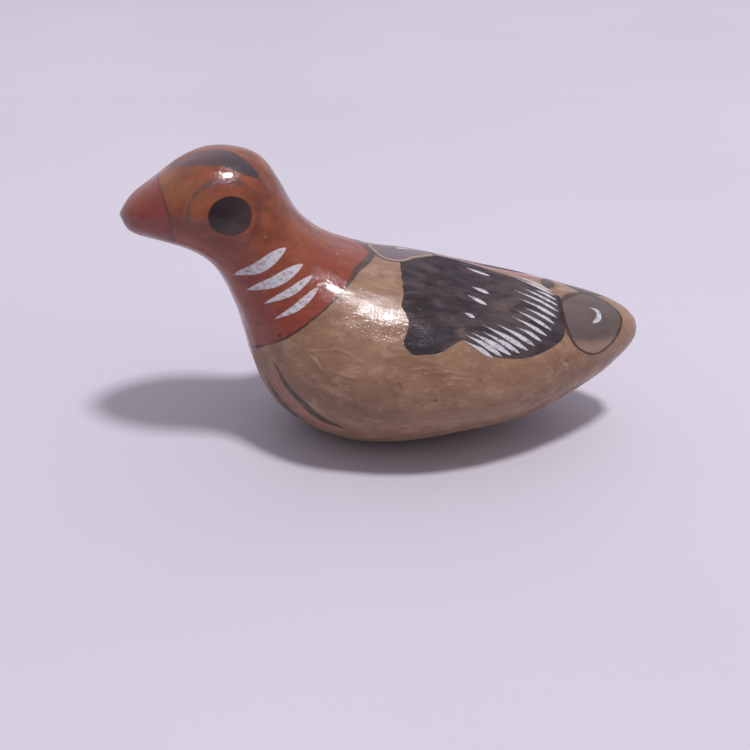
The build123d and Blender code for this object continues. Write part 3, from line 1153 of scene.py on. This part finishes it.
def painted_clay():
    g = PaintedClay()
    paint_body(g)
    paint_back_and_tail(g)
    paint_head_and_beak(g)
    paint_ring_and_crest(g)
    paint_eye(g)
    paint_wing(g)
    paint_lines_and_white(g)
    wear_down(g)
    gloss = skin_gloss(g)
    surface = g.principled(g.colour, skin_roughness(g), skin_relief(g), gloss, COAT_ROUGHNESS, SKIN_SPECULAR)
    return g.finish(surface)


def raw_clay():
    g = Nodes("raw_clay")
    smear = g.noise(1.4, stretch=(1, 0.4, 1), detail=4, offset=3)
    grit = g.noise(0.4, detail=4, roughness=0.7, offset=5)
    cloud = g.ramp(g.noise(9, detail=3), 0.35, 0.65)
    colour = g.mix(cloud, g.shade(RAW_CLAY, smear, 0.18), RAW_CLAY_DEEP)
    colour = g.over(colour, GRIT_PALE, g.ramp(grit, 0.60, 0.72), 0.6)
    colour = g.over(colour, GRIT_DARK, g.ramp(grit, 0.36, 0.28), 0.6)
    normal = g.bump(grit, 0.05, g.bump(smear, 0.10))
    return g.finish(g.principled(colour, g.ramp(smear, 0.3, 0.7, 0.74, 0.92), normal, specular=0.3))


def floor_material():
    """A pale tabletop that passes into the backdrop's glow with distance, so that no horizon shows."""
    g = Nodes("floor")
    colour = g.mix(g.ramp(g.noise(260, detail=2), 0.3, 0.7), *FLOOR_TONES)
    rough = g.ramp(g.noise(40, offset=3), 0.3, 0.7, 0.5, 0.6)
    lit = g.principled(colour, rough, g.bump(g.noise(1.2, detail=3, offset=5), 0.02), specular=0.25)
    glow = g.add("ShaderNodeEmission")
    g.put(glow.inputs["Color"], SKY_COLOUR)
    g.put(glow.inputs["Strength"], BACKDROP)
    far_away = g.add("ShaderNodeVectorMath", operation="LENGTH")
    g.put(far_away.inputs[0], g.mm)
    blend = g.add("ShaderNodeMixShader")
    g.put(blend.inputs[0], g.ramp(far_away.outputs["Value"], *FLOOR_FADE))
    g.put(blend.inputs[1], lit)
    g.put(blend.inputs[2], glow.outputs[0])
    return g.finish(blend.outputs[0])


# ---------------------------------------------------------------- building the bird
def build_body(painted, raw):
    along_windway = -math.atan2(WINDWAY_RUN[1], WINDWAY_RUN[0])
    whole = even_mesh(joined(OUTER_NODES), BODY_VOXEL, along_windway)
    smoothed(whole, SMOOTH_ROUNDS)
    cut_openings(whole)
    set_vectors(whole, "normal", smooth_normals(whole))
    refined(whole)
    place, normal, outward = worked_skin(whole)
    fields = paint_fields(place, normal)
    fields["outward"] = outward
    to_mesh_attributes(whole, fields)
    mark_chamber(whole, outward)

    middle = Vector((0, 0, 0))
    joint = Vector((TAIL_JOINT_X * MM, 0, 0))
    cuts = {
        "left_shell": ((middle, Vector((0, 1, 0))), (joint, Vector((1, 0, 0)))),
        "right_shell": ((middle, Vector((0, -1, 0))), (joint, Vector((1, 0, 0)))),
        "mouthpiece": ((joint, Vector((-1, 0, 0))),),
    }
    for node, planes in cuts.items():
        piece = clay_piece(whole, "painted_" + node, planes)
        for material in (painted, raw, raw):
            piece.data.materials.append(material)
        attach(piece, "root")
        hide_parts(node)
    bpy.data.meshes.remove(whole)


def build_pressed_clay(node, voxel, depth, raw):
    """A coil or block of clay pressed in by hand, with dents and a softened edge."""
    mesh = even_mesh(joined((node,)), voxel)
    smoothed(mesh, 4)
    place = coordinates(mesh)
    normal = smooth_normals(mesh, 2)
    place += (depth * (ripple(place, FINGER_MARKS) - 0.8))[:, None] * normal
    set_coordinates(mesh, place)
    mesh.shade_smooth()
    mesh.materials.clear()
    mesh.materials.append(raw)
    piece = placed("pressed_" + node, mesh)
    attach(piece, "root")
    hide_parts(node)


# ---------------------------------------------------------------- camera, light and floor
CAMERA_PLACE = (-0.0205, -0.3365, 0.1942)
CAMERA_TURN = -3.0
CAMERA_PITCH = -28.14
CAMERA_ROLL = 0.84
CAMERA_LENS = 59.57
LAMP_DIRECTION = (0.20, -0.13, 0.97)
LAMP_DISTANCE = 3.0
LAMP_SIZE = 0.46
LAMP_POWER = 59
LAMP_COLOUR = (1.0, 0.97, 1.0)
LAMP_TARGET = (0, 0, 0.03)
FLOOR_HALF = 6


def add_camera():
    data = bpy.data.cameras.new("camera")
    data.lens = CAMERA_LENS
    data.sensor_width = 36
    data.clip_start = 0.01
    data.clip_end = 20
    camera = placed("camera", data)
    camera.matrix_world = (
        Matrix.Translation(CAMERA_PLACE)
        @ Matrix.Rotation(math.radians(CAMERA_TURN), 4, "Z")
        @ Matrix.Rotation(math.radians(90 + CAMERA_PITCH), 4, "X")
        @ Matrix.Rotation(math.radians(CAMERA_ROLL), 4, "Z")
    )
    bpy.context.scene.camera = camera


def add_ceiling_lamp():
    data = bpy.data.lights.new("ceiling_lamp", "AREA")
    data.shape = "DISK"
    data.size = LAMP_SIZE
    data.energy = LAMP_POWER
    data.color = LAMP_COLOUR
    lamp = placed("ceiling_lamp", data)
    away = Vector(LAMP_DIRECTION).normalized()
    lamp.location = Vector(LAMP_TARGET) + away * LAMP_DISTANCE
    lamp.rotation_mode = "QUATERNION"
    lamp.rotation_quaternion = away.to_track_quat("Z", "Y")


def add_floor():
    bm = bmesh.new()
    bmesh.ops.create_grid(bm, x_segments=24, y_segments=24, size=FLOOR_HALF)
    mesh = bpy.data.meshes.new("floor")
    bm.to_mesh(mesh)
    bm.free()
    mesh.materials.append(floor_material())
    floor = placed("floor", mesh)


def add_sky():
    """Soft room light: pale, brightest overhead, dim near the horizon and glowing from the wall at +Y."""
    world = bpy.data.worlds.new("world")
    world.use_nodes = True
    tree = world.node_tree

    def node(kind, **inputs):
        made = tree.nodes.new(kind)
        for name, value in inputs.items():
            socket = made.inputs[name.replace("_", " ")]
            if isinstance(value, bpy.types.NodeSocket):
                tree.links.new(value, socket)
            else:
                socket.default_value = value
        return made

    way = node("ShaderNodeSeparateXYZ", Vector=node("ShaderNodeTexCoord").outputs["Generated"])
    height = node("ShaderNodeMapRange", Value=way.outputs["Z"], To_Min=SKY_LOW, To_Max=SKY_HIGH)
    wall = node("ShaderNodeMapRange", Value=way.outputs["Y"], From_Min=0.1, From_Max=0.8, To_Max=WALL_GLOW)
    wall.interpolation_type = "SMOOTHSTEP"
    both = node("ShaderNodeMath")
    tree.links.new(height.outputs["Result"], both.inputs[0])
    tree.links.new(wall.outputs["Result"], both.inputs[1])
    seen = node("ShaderNodeLightPath").outputs["Is Camera Ray"]
    strength = node("ShaderNodeMix", Factor=seen, A=both.outputs[0], B=BACKDROP)
    background = tree.nodes["Background"]
    background.inputs["Color"].default_value = (*SKY_COLOUR, 1)
    tree.links.new(strength.outputs["Result"], background.inputs["Strength"])
    bpy.context.scene.world = world


def add_light():
    add_ceiling_lamp()
    add_sky()
    bpy.context.scene.view_settings.view_transform = "Standard"


painted = painted_clay()
raw = raw_clay()
build_body(painted, raw)
for node, voxel, dent_depth in PRESSED_CLAY:
    build_pressed_clay(node, voxel, dent_depth, raw)
add_camera()
add_floor()
add_light()
